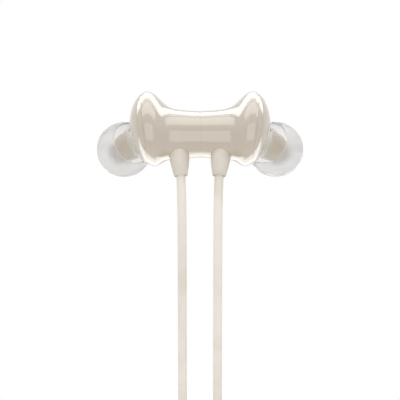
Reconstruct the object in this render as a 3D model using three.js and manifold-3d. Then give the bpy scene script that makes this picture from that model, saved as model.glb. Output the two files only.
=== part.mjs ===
// Neckband earphones: two earbuds docked back to back by their magnets, in the middle of
// a U-shaped neckband with a battery pod and a control pod, joined to them by two cables.
// Millimetres, +Z up. The neckband lies flat on z = 0 and opens towards -Y.
import * as THREE from 'three';
import { LoftGeometry } from 'three/addons/geometries/LoftGeometry.js';
import { RoundedBoxGeometry } from 'three/addons/geometries/RoundedBoxGeometry.js';
import { mergeVertices } from 'three/addons/utils/BufferGeometryUtils.js';
import Module from 'manifold-3d';

// ---- driving dimensions ----
const GAP = 0.3;                       // clearance between pieces that touch
const BUD_SIDES = 24;                  // sides of the buds' round sections
const STEM_HEIGHT = 13.85;             // the stems' common axis above the table
const SHELL_WALL = 1.1;

// rear housing of the left bud: distance from the docking face, rise of the section's
// centre towards +Y, and radius. The section also leans towards +Z, LEAN times its rise.
const LEAN = 0.4;
const REAR_STATIONS = [
  [0.05, 0, 5.08], [0.3, 0, 5.18], [2.3, 0, 5.29], [4, -0.04, 5.46], [5.5, -0.04, 5.66], [6.5, 0.07, 5.85],
  [7.2, 0.23, 6.09], [7.9, 0.47, 6.48], [8.5, 0.69, 7], [9.1, 0.88, 7.58], [9.8, 1.05, 8.03],
  [10.6, 1.18, 8.33], [11.4, 1.23, 8.3], [12.2, 1.2, 8.02], [13.2, 1.2, 7.5],
];
const BODY_CENTRE = new THREE.Vector3(-10.95, 1.25, 1.25 * LEAN);
const SEAM_AXIS = new THREE.Vector3(-0.994, -0.11, 0).normalize();
const SEAM_DEPTH = 1.5;                // of the seam in front of the body's centre
const DOME_RADIUS = 8;
const DOME_DEPTH = 4.85;
const DOME_POWER = 2.3;                // squareness of the front dome's outline
const VENT_OFFSET = new THREE.Vector3(0, 0.15, 0.3);
const VENT_WIDTH = 0.8;
const VENT_LENGTH = 2.4;
const VENT_MESH_DEPTH = 3.3;
const VENT_MESH_RADIUS = 1.5;

// magnet behind the docking face, in front of the floor of the stem
const MAGNET_RADIUS = 3.4;
const MAGNET_FROM = 1.35;
const MAGNET_TO = 2.25;

// nozzle and ear tip: distances along the nozzle are counted from the tip's centre
const TIP_CENTRE = new THREE.Vector3(-17, -3.2, -7.6);
const NOZZLE_AXIS = new THREE.Vector3(-0.54, -0.39, -0.745).normalize();
const TIP_RADIUS = 6.2;
const TIP_SKIN = 0.55;
const TIP_MOUTH_ANGLE = 0.93;
const RIM_BACK = 3.6;
const COLLAR_END = -1.0;
const COLLAR_RADIUS = 3.3;
const COLLAR_BASE = new THREE.Vector3(-12.9, -0.35, -1.7);
const COLLAR_BASE_RADIUS = 4.4;
const NECK_RADIUS = 2.0;
const NECK_END = 3.3;
const BORE_RADIUS = 1.5;

// cable boot of each bud, from inside the stem to its mouth
const BOOT_START = new THREE.Vector3(-4.75, -2.6, 2.05);
const BOOT_AXIS = new THREE.Vector3(0.075, -0.972, 0.22).normalize();
const BOOT_LENGTH = 6.9;
const BOOT_PROFILE = [[0, 2.1], [2.8, 2.2], [4.4, 1.95], [5.9, 1.62], [6.6, 1.5], [6.9, 1.3]];
const CABLE_RADIUS = 1.0;

// neckband: a half ellipse with straight ends
const BAND_HALF_WIDTH = 70;
const BAND_START_Y = 22;               // the half ellipse begins here
const BAND_RISE = 54.25;
const BAND_END_Y = 18;                 // the sleeve ends inside the pods
const BAND_WIDTH = 7.5;
const BAND_HEIGHT = 5.2;
const BAND_BORE_OFFSET = 1.7;
const MEMORY_WIRE_RADIUS = 0.65;
const HARNESS_RADIUS = 0.8;
const BAND_BORE_CLEARANCE = 0.3;

// pods: place along Y, width and height of each section
const POD_HEIGHT = 9.5;
const POD_WIDTH = 12.4;
const POD_CORNER = 2.8;
const POD_STATIONS = [
  [24, 10, 7.6], [22.5, 10.8, 8.2], [17, 12, 9.2], [8, POD_WIDTH, POD_HEIGHT],
  [-64, POD_WIDTH, POD_HEIGHT], [-70, 11.6, 8.8], [-73.6, 9.8, 7.4], [-75, 8, 6],
];
const POD_WALL = 1.1;
const POD_BOOT_Y = -72.6;
const BATTERY_SIZE = [8.4, 50, 5.2];
const BATTERY_Y = -34;
const PROTECTION_BOARD_SIZE = [7, 9];
const MAIN_BOARD_SIZE = [8.2, 74];
const MAIN_BOARD_Y = -25;
const BOARD_Z = 2;
const BOARD_THICK = 0.8;
const PARTS_Z = BOARD_Z + BOARD_THICK + GAP;
const RADIO_MODULE_SIZE = [7, 8, 1.4];
const RADIO_MODULE_Y = 8;
const MICROPHONE_SIZE = [2.8, 3.6, 1.2];
const SWITCH_SIZE = [4.2, 3.2, 1.8];
const SWITCH_HEIGHT = 2.3;             // over its plunger
const BUTTON_TRAVEL_ROOM = 0.55;
const BUTTON_SIZE = [4.6, 7.4];
const BUTTON_TOP = 9.9;
const BUTTON_FLANGE = 0.6;             // reach of the flange round the cap
const BUTTON_FLANGE_Z = 7.5;
const HOLE_CLEARANCE = 0.2;            // all round a cap or a light in its hole
const BUTTON_PLACES = { volume_up: -8, play: -20, volume_down: -32 };
const USB_Y = -52;
const USB_SIZE = [3.2, 8.9];
const USB_WALL = 0.3;
const USB_DEPTH = 7.3;
const LIGHT_Y = -42;
const LIGHT_RADIUS = 0.7;
const LIGHT_FROM = 4.8;
const LIGHT_TOP = 9.4;
const MICROPHONE_Y = 1;
const PINHOLE_RADIUS = 0.45;

// ---- solids: joins and cuts ----
const wasm = await Module();
wasm.setup();

function toSolid(geometry) {
  const bare = new THREE.BufferGeometry().copy(geometry);
  bare.deleteAttribute('normal');
  bare.deleteAttribute('uv');
  const merged = mergeVertices(bare, 1e-4);
  const vertProperties = new Float32Array(merged.attributes.position.array);
  const triVerts = new Uint32Array(merged.index.array);
  return new wasm.Manifold(new wasm.Mesh({ numProp: 3, vertProperties, triVerts }));
}

function toGeometry(solid) {
  const mesh = solid.getMesh();
  const geometry = new THREE.BufferGeometry();
  geometry.setAttribute('position', new THREE.BufferAttribute(new Float32Array(mesh.vertProperties), 3));
  geometry.setIndex(new THREE.BufferAttribute(new Uint32Array(mesh.triVerts), 1));
  geometry.computeVertexNormals();
  return geometry;
}

// ---- placing ----
const UP = new THREE.Vector3(0, 1, 0);

// turns a shape made round its own Y axis so that the axis points along `axis` from `origin`
function alongAxis(geometry, origin, axis) {
  const turn = new THREE.Quaternion().setFromUnitVectors(UP, axis);
  const matrix = new THREE.Matrix4().compose(origin, turn, new THREE.Vector3(1, 1, 1));
  return new THREE.BufferGeometry().copy(geometry).applyMatrix4(matrix);
}

function onNozzle(geometry) {
  return alongAxis(geometry, TIP_CENTRE, NOZZLE_AXIS);
}

function mirrored(geometry) {
  const flip = new THREE.Matrix4().makeScale(-1, 1, 1);
  const copy = mergeVertices(new THREE.BufferGeometry().copy(geometry).applyMatrix4(flip), 1e-5);
  const index = copy.index.array;
  for (let i = 0; i < index.length; i += 3) {
    [index[i + 1], index[i + 2]] = [index[i + 2], index[i + 1]];
  }
  copy.computeVertexNormals();
  return copy;
}

function moved(geometry, x, y, z) {
  return geometry.clone().translate(x, y, z);
}

// ---- shapes ----
function lathe(profile, sides = BUD_SIDES) {
  return new THREE.LatheGeometry(profile.map(([r, h]) => new THREE.Vector2(r, h)), sides);
}

function rod(radius, from, to, sides = 20) {
  return lathe([[0, from], [radius, from], [radius, to], [0, to]], sides);
}

function ring(centre, normal, radius, sides = BUD_SIDES) {
  const across = UP.clone().addScaledVector(normal, -UP.dot(normal)).normalize();
  const side = new THREE.Vector3().crossVectors(normal, across);
  const points = [];
  for (let i = 0; i < sides; i += 1) {
    const angle = (i / sides) * Math.PI * 2;
    const point = centre.clone().addScaledVector(across, radius * Math.cos(angle));
    points.push(point.addScaledVector(side, radius * Math.sin(angle)));
  }
  return points;
}

function loft(sections) {
  return new LoftGeometry(sections, { capStart: true, capEnd: true });
}

function block(width, length, height, radius = 0.4) {
  return new RoundedBoxGeometry(width, length, height, 1, radius);
}

function stadium(width, length) {
  const straight = (length - width) / 2;
  const shape = new THREE.Shape();
  shape.absarc(0, straight, width / 2, 0, Math.PI);
  shape.absarc(0, -straight, width / 2, Math.PI, 2 * Math.PI);
  return shape;
}

function slab(shape, depth, z, curveSegments = 5) {
  const geometry = new THREE.ExtrudeGeometry(shape, { depth, bevelEnabled: false, curveSegments });
  return geometry.translate(0, 0, z);
}

function circle(radius, x = 0, y = 0) {
  return new THREE.Shape().absarc(x, y, radius, 0, Math.PI * 2);
}

function tube(shape, extrudePath, steps, curveSegments = 4) {
  return new THREE.ExtrudeGeometry(shape, { extrudePath, steps, bevelEnabled: false, curveSegments });
}

// ---- left earbud, in its own frame: docking face at x = 0, stem axis along X ----
// everything behind (side = 1) or in front (side = -1) of the seam between the housings
function seamBlock(side, shift) {
  const middle = BODY_CENTRE.clone().addScaledVector(SEAM_AXIS, SEAM_DEPTH - side * (20 + shift));
  return toSolid(alongAxis(new THREE.BoxGeometry(60, 40, 60), middle, SEAM_AXIS));
}

function rearLoft(inset, from) {
  const along = new THREE.Vector3(-1, 0, 0);
  const kept = REAR_STATIONS.filter(([x]) => x > from);
  const first = kept[0];
  const stations = inset > 0 ? [[from, first[1], first[2]], ...kept] : kept;
  return toSolid(loft(stations.map(([x, rise, radius]) => (
    ring(new THREE.Vector3(-x, rise, rise * LEAN), along, radius - inset)
  ))));
}

function bootSolid(extra) {
  const outline = BOOT_PROFILE.map(([h, r]) => [r + extra, h]);
  const profile = [[0, 0], ...outline, [0, BOOT_LENGTH]];
  return alongAxis(lathe(profile, 16), BOOT_START, BOOT_AXIS);
}

function rearHousing() {
  const outer = rearLoft(0, 0);
  const inner = rearLoft(SHELL_WALL, 1.0);
  const bootHole = toSolid(bootSolid(0.25));
  return toGeometry(outer.subtract(inner).subtract(bootHole).intersect(seamBlock(1, GAP / 2)));
}

function domeSolid(inset) {
  const profile = [[0, -2]];
  profile.push([DOME_RADIUS - inset, -2]);
  for (let i = 0; i <= 8; i += 1) {
    const angle = (i / 8) * (Math.PI / 2);
    const radius = DOME_RADIUS * Math.cos(angle) ** (2 / DOME_POWER);
    const height = DOME_DEPTH * Math.sin(angle) ** (2 / DOME_POWER);
    profile.push([Math.max(radius - inset * Math.cos(angle), 0), height - inset * Math.sin(angle)]);
  }
  return toSolid(alongAxis(lathe(profile), BODY_CENTRE, SEAM_AXIS));
}

// the collar leaves the dome half turned and ends square to the nozzle
function collarSolid() {
  const baseAxis = SEAM_AXIS.clone().add(NOZZLE_AXIS).normalize();
  const endCentre = TIP_CENTRE.clone().addScaledVector(NOZZLE_AXIS, COLLAR_END);
  const sections = [0, 0.35, 0.7, 1].map((t) => {
    const centre = COLLAR_BASE.clone().lerp(endCentre, t);
    const axis = baseAxis.clone().lerp(NOZZLE_AXIS, t).normalize();
    return ring(centre, axis, COLLAR_BASE_RADIUS + (COLLAR_RADIUS - COLLAR_BASE_RADIUS) * Math.sqrt(t), 20);
  });
  return toSolid(loft(sections));
}

// upright slot in the dome that lets the driver breathe
function ventSlot() {
  const slot = slab(stadium(VENT_WIDTH, VENT_LENGTH), DOME_DEPTH, 0).rotateX(-Math.PI / 2);
  const start = BODY_CENTRE.clone().add(VENT_OFFSET).addScaledVector(SEAM_AXIS, VENT_MESH_DEPTH);
  return toSolid(alongAxis(slot, start, SEAM_AXIS));
}

function frontHousing() {
  const neck = toSolid(onNozzle(rod(NECK_RADIUS, COLLAR_END - 1, NECK_END, 20)));
  const lip = toSolid(onNozzle(rod(NECK_RADIUS + 0.12, NECK_END - 0.7, NECK_END, 20)));
  const bore = toSolid(onNozzle(rod(BORE_RADIUS, -6, NECK_END + 1, 16)));
  const outer = domeSolid(0).add(collarSolid()).add(neck).add(lip);
  const hollow = outer.subtract(domeSolid(SHELL_WALL)).subtract(bore).subtract(ventSlot());
  return toGeometry(hollow.intersect(seamBlock(-1, GAP / 2)));
}

function dockMagnet() {
  const disc = rod(MAGNET_RADIUS, MAGNET_FROM, MAGNET_TO);
  return alongAxis(disc, new THREE.Vector3(), new THREE.Vector3(-1, 0, 0));
}

// dynamic driver: a steel cup behind a wider basket, facing the nozzle
function driverBasket() {
  const cup = [[0, -3.2], [3.4, -3.2], [3.4, -1.8]];
  const basket = [[5.2, -1.4], [5.2, 0.2], [4.7, 0.2], [4.7, -0.6], [0, -0.9]];
  return alongAxis(lathe([...cup, ...basket], 20), BODY_CENTRE, SEAM_AXIS);
}

function driverDiaphragm() {
  const top = [[4.4, 0.1], [3.6, 0.45], [2.7, 0.15], [1.6, 0.55], [0, 0.75]];
  return alongAxis(lathe([[0, -0.4], [4.4, -0.2], ...top], 20), BODY_CENTRE, SEAM_AXIS);
}

function nozzleMesh() {
  return onNozzle(rod(BORE_RADIUS - GAP, 2.5, 2.8, 16));
}

// cloth disc behind the vent slot
function ventMesh() {
  const place = BODY_CENTRE.clone().add(VENT_OFFSET).addScaledVector(SEAM_AXIS, VENT_MESH_DEPTH);
  return alongAxis(rod(VENT_MESH_RADIUS, -0.15, 0.1, 12), place, SEAM_AXIS);
}

// silicone ear tip: inner sleeve, rounded mouth and a dome that turns back over the collar
function earTip() {
  const onDome = (radius, angle) => [radius * Math.cos(angle), radius * Math.sin(angle)];
  const rimAngle = -Math.asin(RIM_BACK / TIP_RADIUS);
  const swing = (share, mouthAngle) => rimAngle + share * (mouthAngle - rimAngle);
  const outer = [0, 0.16, 0.34, 0.5, 0.66, 0.82, 1].map((t) => onDome(TIP_RADIUS, swing(t, TIP_MOUTH_ANGLE)));
  const inner = [0.9, 0.6, 0.3, 0].map((t) => onDome(TIP_RADIUS - TIP_SKIN, swing(t, 0.8)));
  const sleeve = [[2.9, 3.4], [2.9, -0.6], [2.3, -0.6], [2.3, 4.6], [2.5, 5.1], [2.9, 5.25]];
  const profile = [...sleeve, ...outer.reverse(), ...inner.reverse(), [2.9, 3.4]];
  return onNozzle(lathe(profile.reverse(), BUD_SIDES));
}

// ---- cables: left route, from the bud's boot to the boot of the left pod ----
const BOOT_MOUTH = BOOT_START.clone().addScaledVector(BOOT_AXIS, BOOT_LENGTH + GAP);
const CABLE_ROUTE = [
  [BOOT_MOUTH.x, BOOT_MOUTH.y, BOOT_MOUTH.z + STEM_HEIGHT],
  [-4.05, -14, 18.1], [-3.95, -24, 16.4], [-3.95, -38, 10.8], [-3.95, -52, 5.2], [-3.95, -66, 1.9],
  [-3.95, -80, 1.2], [-4.1, -94, 1.2], [-8.6, -109.5, 1.2], [-20.6, -120.8, 1.2], [-37, -125, 1.2],
  [-53.4, -120.8, 1.2], [-65.4, -109.5, 1.2], [-69.8, -95, 1.5], [-70, -86, 3.6], [-70, -80.3, 4.75],
];

function cable() {
  const path = new THREE.CatmullRomCurve3(CABLE_ROUTE.map(([x, y, z]) => new THREE.Vector3(x, y, z)));
  return tube(circle(CABLE_RADIUS), path, 40);
}

// ---- neckband ----
class NeckLine extends THREE.Curve {
  constructor(endY) {
    super();
    this.endY = endY;
  }

  getPoint(t, target = new THREE.Vector3()) {
    const straight = 0.04;
    const z = POD_HEIGHT / 2;
    if (t < straight || t > 1 - straight) {
      const side = t < straight ? -1 : 1;
      const share = Math.min(t, 1 - t) / straight;
      return target.set(side * BAND_HALF_WIDTH, this.endY + share * (BAND_START_Y - this.endY), z);
    }
    const angle = Math.PI * (1 - (t - straight) / (1 - 2 * straight));
    return target.set(BAND_HALF_WIDTH * Math.cos(angle), BAND_START_Y + BAND_RISE * Math.sin(angle), z);
  }
}

function bandSection() {
  const section = new THREE.Shape();
  section.absellipse(0, 0, BAND_HEIGHT / 2, BAND_WIDTH / 2, 0, Math.PI * 2);
  const wireBore = MEMORY_WIRE_RADIUS + BAND_BORE_CLEARANCE;
  const harnessBore = HARNESS_RADIUS + BAND_BORE_CLEARANCE;
  section.holes.push(new THREE.Path().absarc(0, -BAND_BORE_OFFSET, wireBore, 0, Math.PI * 2, true));
  section.holes.push(new THREE.Path().absarc(0, BAND_BORE_OFFSET, harnessBore, 0, Math.PI * 2, true));
  return section;
}

function bandSleeve() {
  return tube(bandSection(), new NeckLine(BAND_END_Y), 30, 5);
}

function bandWire(radius, offset) {
  return tube(circle(radius, 0, offset), new NeckLine(BAND_END_Y - 2), 30, 3);
}

// ---- pods, made round x = 0 and moved to their places ----
function podRing(y, width, height, inset) {
  const points = [];
  const radius = Math.min(POD_CORNER, height / 2 + inset - 0.3) - inset;
  for (const [sx, sz, start] of [[1, 1, 0], [1, -1, 1], [-1, -1, 2], [-1, 1, 3]]) {
    for (let i = 0; i <= 3; i += 1) {
      const angle = (start + i / 3) * (Math.PI / 2);
      const x = sx * (width / 2 - radius) + radius * Math.sin(angle);
      const z = POD_HEIGHT / 2 + sz * (height / 2 - radius) + radius * Math.cos(angle);
      points.push(new THREE.Vector3(x, y, z));
    }
  }
  return points;
}

function podLoft(inset) {
  const stations = [...POD_STATIONS].reverse();
  const first = stations[0];
  const last = stations[stations.length - 1];
  const sections = stations.map(([y, width, height]) => {
    const atEnd = Math.sign((y === last[0]) - (y === first[0]));
    return podRing(y - atEnd * inset, width - 2 * inset, height - 2 * inset, inset);
  });
  return toSolid(loft(sections));
}

function podBoot(extra) {
  const outline = [[0, 3.0], [0.9, 3.0], [0.9, 2.2], [4.4, 2.0], [6.6, 1.6], [7.1, 1.55], [7.4, 1.35]];
  const profile = [[0, 0], ...outline.map(([h, r]) => [r + extra, h]), [0, 7.4]];
  const start = new THREE.Vector3(0, POD_BOOT_Y, POD_HEIGHT / 2);
  return alongAxis(lathe(profile, 16), start, new THREE.Vector3(0, -1, 0));
}

function podCavity() {
  const bandHole = slab(circle(1), 12, 0, 8).scale(BAND_WIDTH / 2 + GAP, BAND_HEIGHT / 2 + GAP, 1);
  const bandEntry = toSolid(bandHole.rotateX(-Math.PI / 2).translate(0, 16, POD_HEIGHT / 2));
  return podLoft(POD_WALL).add(bandEntry).add(toSolid(podBoot(0.25)));
}

function halfSpace(side) {
  return toSolid(moved(new THREE.BoxGeometry(40, 240, 20), 0, 0, POD_HEIGHT / 2 + side * (10 + GAP / 2)));
}

const POD_SHELL = podLoft(0).subtract(podCavity());

// the lower (side = -1) or upper (side = 1) half of a pod's shell, with openings cut in it
function podHalf(side, cuts = []) {
  const half = POD_SHELL.intersect(halfSpace(side));
  return toGeometry(cuts.reduce((solid, cut) => solid.subtract(toSolid(cut)), half));
}

function grown([width, length], extra) {
  return stadium(width + 2 * extra, length + 2 * extra);
}

// button cap with a flange under the shell's top wall and a stem over its switch
function button() {
  const cap = toSolid(slab(grown(BUTTON_SIZE, 0), BUTTON_TOP - BUTTON_FLANGE_Z - GAP, BUTTON_FLANGE_Z + GAP));
  const flange = toSolid(slab(grown(BUTTON_SIZE, BUTTON_FLANGE), 0.5, BUTTON_FLANGE_Z));
  const stemFoot = PARTS_Z + SWITCH_HEIGHT + BUTTON_TRAVEL_ROOM;
  const stem = toSolid(slab(circle(1), BUTTON_FLANGE_Z + GAP - stemFoot, stemFoot, 5));
  return toGeometry(cap.add(flange).add(stem));
}

function tactSwitch() {
  const body = toSolid(moved(block(...SWITCH_SIZE), 0, 0, PARTS_Z + SWITCH_SIZE[2] / 2));
  const plunger = toSolid(slab(circle(0.8), SWITCH_HEIGHT - 1.6, PARTS_Z + 1.6, 5));
  return toGeometry(body.add(plunger));
}

// USB-C receptacle: a steel sleeve with a tongue standing on its back wall
function usbSocket() {
  const outer = toSolid(slab(grown(USB_SIZE, 0), USB_DEPTH, 0));
  const mouth = toSolid(slab(grown(USB_SIZE, -USB_WALL), USB_DEPTH - 1, 1.2));
  const tongue = toSolid(moved(new THREE.BoxGeometry(0.7, 6.6, 5), 0, 0, 3.4));
  return toGeometry(outer.subtract(mouth).add(tongue)).rotateY(Math.PI / 2);
}

// ---- scene ----
const COLOURS = {
  cream: [0xede2d0, 0.18, 0], silicone: [0xe9e6e0, 0.45, 0], soft: [0xdcd5c6, 0.7, 0],
  steel: [0x9a9a98, 0.35, 0.9], copper: [0xb5764a, 0.4, 0.9], board: [0x2f5d46, 0.55, 0],
  film: [0xd8c9a0, 0.4, 0], cell: [0xb9bcc0, 0.4, 0.6], black: [0x2a2a2c, 0.5, 0], clear: [0xf4f4f0, 0.2, 0],
};
const model = new THREE.Group();
const buds = new THREE.Group();
buds.position.set(0, 0, STEM_HEIGHT);
model.add(buds);

function piece(parent, name, geometry, finish, x = 0, y = 0, z = 0) {
  const [color, roughness, metalness] = COLOURS[finish];
  const mesh = new THREE.Mesh(geometry, new THREE.MeshStandardMaterial({ color, roughness, metalness }));
  mesh.name = name;
  mesh.position.set(x, y, z);
  parent.add(mesh);
}

const BUD_PIECES = {
  rear_housing: [rearHousing(), 'cream'],
  front_housing: [frontHousing(), 'cream'],
  dock_magnet: [dockMagnet(), 'steel'],
  driver_basket: [driverBasket(), 'steel'],
  driver_diaphragm: [driverDiaphragm(), 'film'],
  nozzle_mesh: [nozzleMesh(), 'steel'],
  vent_mesh: [ventMesh(), 'black'],
  ear_tip: [earTip(), 'silicone'],
  cable_boot: [bootSolid(0), 'soft'],
};
for (const [name, [geometry, finish]] of Object.entries(BUD_PIECES)) {
  piece(buds, `left_${name}`, geometry, finish);
  piece(buds, `right_${name}`, mirrored(geometry), finish);
}
piece(model, 'left_cable', cable(), 'soft');
piece(model, 'right_cable', mirrored(cable()), 'soft');

piece(model, 'neck_sleeve', bandSleeve(), 'silicone');
piece(model, 'memory_wire', bandWire(MEMORY_WIRE_RADIUS, -BAND_BORE_OFFSET), 'steel');
piece(model, 'wire_harness', bandWire(HARNESS_RADIUS, BAND_BORE_OFFSET), 'black');

const left = new THREE.Group();
left.position.set(-BAND_HALF_WIDTH, 0, 0);
const right = new THREE.Group();
right.position.set(BAND_HALF_WIDTH, 0, 0);
model.add(left, right);

piece(left, 'left_pod_lower_shell', podHalf(-1), 'cream');
piece(left, 'left_pod_upper_shell', podHalf(1), 'cream');
piece(left, 'left_pod_boot', podBoot(0), 'soft');
piece(left, 'battery_cell', block(...BATTERY_SIZE, 1), 'cell', 0, BATTERY_Y, POD_HEIGHT / 2);
const protectionBlock = block(...PROTECTION_BOARD_SIZE, BOARD_THICK, 0.1);
piece(left, 'protection_board', protectionBlock, 'board', 0, 0, POD_HEIGHT / 2);

const usbHole = slab(grown(USB_SIZE, HOLE_CLEARANCE), 8, 0).rotateY(Math.PI / 2);
usbHole.translate(1, USB_Y, POD_HEIGHT / 2);
const buttonHole = slab(grown(BUTTON_SIZE, HOLE_CLEARANCE), 4, 7);
const topCuts = [
  usbHole,
  moved(slab(circle(LIGHT_RADIUS + HOLE_CLEARANCE), 4, 7, 5), 0, LIGHT_Y, 0),
  moved(slab(circle(PINHOLE_RADIUS), 4, 7, 4), 0, MICROPHONE_Y, 0),
  ...Object.values(BUTTON_PLACES).map((y) => moved(buttonHole, 0, y, 0)),
];
piece(right, 'right_pod_lower_shell', podHalf(-1, [usbHole]), 'cream');
piece(right, 'right_pod_upper_shell', podHalf(1, topCuts), 'cream');
piece(right, 'right_pod_boot', podBoot(0), 'soft');
const boardBlock = block(...MAIN_BOARD_SIZE, BOARD_THICK, 0.1);
piece(right, 'main_board', boardBlock, 'board', 0, MAIN_BOARD_Y, BOARD_Z + BOARD_THICK / 2);
const radioBlock = block(...RADIO_MODULE_SIZE, 0.2);
piece(right, 'bluetooth_module', radioBlock, 'steel', 0, RADIO_MODULE_Y, PARTS_Z + RADIO_MODULE_SIZE[2] / 2);
const microphoneBlock = block(...MICROPHONE_SIZE, 0.2);
piece(right, 'microphone', microphoneBlock, 'steel', 0, MICROPHONE_Y, PARTS_Z + MICROPHONE_SIZE[2] / 2);
piece(right, 'usb_c_socket', usbSocket(), 'steel', POD_WIDTH / 2 - 7.4, USB_Y, POD_HEIGHT / 2);
const lightPipe = slab(circle(LIGHT_RADIUS), LIGHT_TOP - LIGHT_FROM, LIGHT_FROM);
piece(right, 'status_light', lightPipe, 'clear', 0, LIGHT_Y, 0);
for (const [name, y] of Object.entries(BUTTON_PLACES)) {
  piece(right, `${name}_button`, button(), 'cream', 0, y, 0);
  piece(right, `${name}_switch`, tactSwitch(), 'black', 0, y, 0);
}

export default model;
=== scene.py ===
import math

import bmesh
import bpy
from mathutils import Matrix, Vector


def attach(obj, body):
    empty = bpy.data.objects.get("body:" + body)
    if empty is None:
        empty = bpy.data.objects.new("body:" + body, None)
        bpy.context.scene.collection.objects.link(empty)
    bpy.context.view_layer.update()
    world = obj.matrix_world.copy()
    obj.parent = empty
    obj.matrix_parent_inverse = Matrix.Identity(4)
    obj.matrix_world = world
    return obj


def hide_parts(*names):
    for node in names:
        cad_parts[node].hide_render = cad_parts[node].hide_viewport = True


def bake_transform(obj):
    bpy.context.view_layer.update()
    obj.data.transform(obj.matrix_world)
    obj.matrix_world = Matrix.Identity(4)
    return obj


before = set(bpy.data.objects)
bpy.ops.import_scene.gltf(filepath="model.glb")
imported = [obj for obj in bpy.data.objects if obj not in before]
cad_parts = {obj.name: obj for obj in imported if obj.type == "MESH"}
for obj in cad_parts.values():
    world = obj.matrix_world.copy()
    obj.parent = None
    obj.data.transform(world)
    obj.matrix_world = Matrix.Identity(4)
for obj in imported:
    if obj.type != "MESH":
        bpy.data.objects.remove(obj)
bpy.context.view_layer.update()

# ---------------------------------------------------------------- camera
# Looks straight down on the docked buds with a long lens; the view is 89 mm wide and is
# centred a little towards the cables.
MM = 0.001
# how high the middle of the docked stems lies above the table, in millimetres
STEM_HEIGHT = 13.85
VIEW_WIDTH = 88.9 * MM
VIEW_CENTRE_Y = -14.6 * MM
LENS = 250.0
SENSOR_WIDTH = 36.0

camera_data = bpy.data.cameras.new("camera")
camera_data.lens = LENS
camera_data.sensor_width = SENSOR_WIDTH
camera = bpy.data.objects.new("camera", camera_data)
camera_distance = VIEW_WIDTH * LENS / SENSOR_WIDTH
camera.location = (0, VIEW_CENTRE_Y, STEM_HEIGHT * MM + camera_distance)
bpy.context.collection.objects.link(camera)
bpy.context.scene.camera = camera

# ---------------------------------------------------------------- cables
# One round cable runs from each bud to its pod: stranded copper in a matte, slightly
# soft thermoplastic elastomer jacket, extruded in one go. It leaves the bud's boot
# level, comes down to the table, turns back in one wide loop and enters the pod's boot.
CABLE_RADIUS = 1.0
BOOT_START = Vector((-4.75, -2.6, 2.05 + STEM_HEIGHT))
BOOT_AXIS = Vector((0.075, -0.972, 0.22)).normalized()
BOOT_LENGTH = 6.9
CABLE_IN_BOOT = 2.5
CABLE_PAST_BOOT = 0.3
CABLE_END = Vector((-70, -77.5, 4.75))
# the points that the cable's centre passes through between the two boots, in millimetres
CABLE_ROUTE = [
    (-4.05, -14, 18.1), (-3.95, -24, 16.4), (-3.95, -38, 10.8), (-3.95, -52, 5.2), (-3.95, -66, 1.9),
    (-3.95, -80, 1.2), (-4.1, -94, 1.2), (-8.6, -109.5, 1.2), (-20.6, -120.8, 1.2), (-37, -125, 1.2),
    (-53.4, -120.8, 1.2), (-65.4, -109.5, 1.2), (-69.8, -95, 1.5), (-70, -86, 3.6), (-70, -80.3, 4.75),
]
# the sockets of a colour mix that share their names with those of its other kinds
COLOUR_A = 6
COLOUR_B = 7
COLOUR_RESULT = 2


def linear(hex_colour):
    """An sRGB hex colour as linear RGBA."""
    channels = [int(hex_colour[i:i + 2], 16) / 255 for i in (1, 3, 5)]
    return (*[c / 12.92 if c <= 0.04045 else ((c + 0.055) / 1.055) ** 2.4 for c in channels], 1.0)


def add_node(material, kind, values=None, links=None, **settings):
    """Adds a node, sets its properties and sockets, and links its inputs to other nodes' outputs."""
    made = material.node_tree.nodes.new(kind)
    for key, value in settings.items():
        setattr(made, key, value)
    for key, value in (values or {}).items():
        made.inputs[key].default_value = value
    for key, output in (links or {}).items():
        material.node_tree.links.new(output, made.inputs[key])
    return made


def new_material(name):
    """A material with an empty node tree, and its output node."""
    material = bpy.data.materials.new(name)
    material.use_nodes = True
    material.node_tree.nodes.clear()
    return material, add_node(material, "ShaderNodeOutputMaterial")


def grained(name, colour, shade, grain_mm, bump_mm, shader):
    """A surface whose colour drifts over some 11 mm and whose skin has a fine grain of that size."""
    material, output = new_material(name)
    place = add_node(material, "ShaderNodeTexCoord").outputs["Object"]
    drift = add_node(material, "ShaderNodeTexNoise", {"Scale": 90.0, "Detail": 3.0}, {"Vector": place})
    spread = add_node(material, "ShaderNodeMapRange", {"From Min": 0.3, "From Max": 0.6},
                      {"Value": drift.outputs["Fac"]})
    mix = add_node(material, "ShaderNodeMix", {COLOUR_A: linear(shade), COLOUR_B: linear(colour)},
                   {"Factor": spread.outputs["Result"]}, data_type="RGBA")
    grain = add_node(material, "ShaderNodeTexNoise", {"Scale": 1 / (grain_mm * MM), "Detail": 2.0},
                     {"Vector": place})
    bump = add_node(material, "ShaderNodeBump", {"Strength": 1.0, "Distance": bump_mm * MM},
                    {"Height": grain.outputs["Fac"]})
    bsdf = add_node(material, "ShaderNodeBsdfPrincipled", shader,
                    {"Base Color": mix.outputs[COLOUR_RESULT], "Normal": bump.outputs["Normal"]})
    material.node_tree.links.new(bsdf.outputs["BSDF"], output.inputs["Surface"])
    return material


def evaluated_mesh(obj):
    """The object's mesh with its modifiers or bevel applied, as a new mesh."""
    graph = bpy.context.evaluated_depsgraph_get()
    return bpy.data.meshes.new_from_object(obj.evaluated_get(graph), depsgraph=graph)


def place_piece(name, mesh, material, body, nodes, sharp=40.0):
    """Adds a finished mesh as a smooth piece that rides on its body and stands for its CAD nodes."""
    mesh.name = name
    mesh.materials.clear()
    mesh.materials.append(material)
    mesh.polygons.foreach_set("use_smooth", [True] * len(mesh.polygons))
    mesh.set_sharp_from_angle(angle=math.radians(sharp))
    obj = bpy.data.objects.new(name, mesh)
    bpy.context.collection.objects.link(obj)
    if body:
        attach(obj, body)
    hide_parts(*nodes)
    return obj


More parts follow.
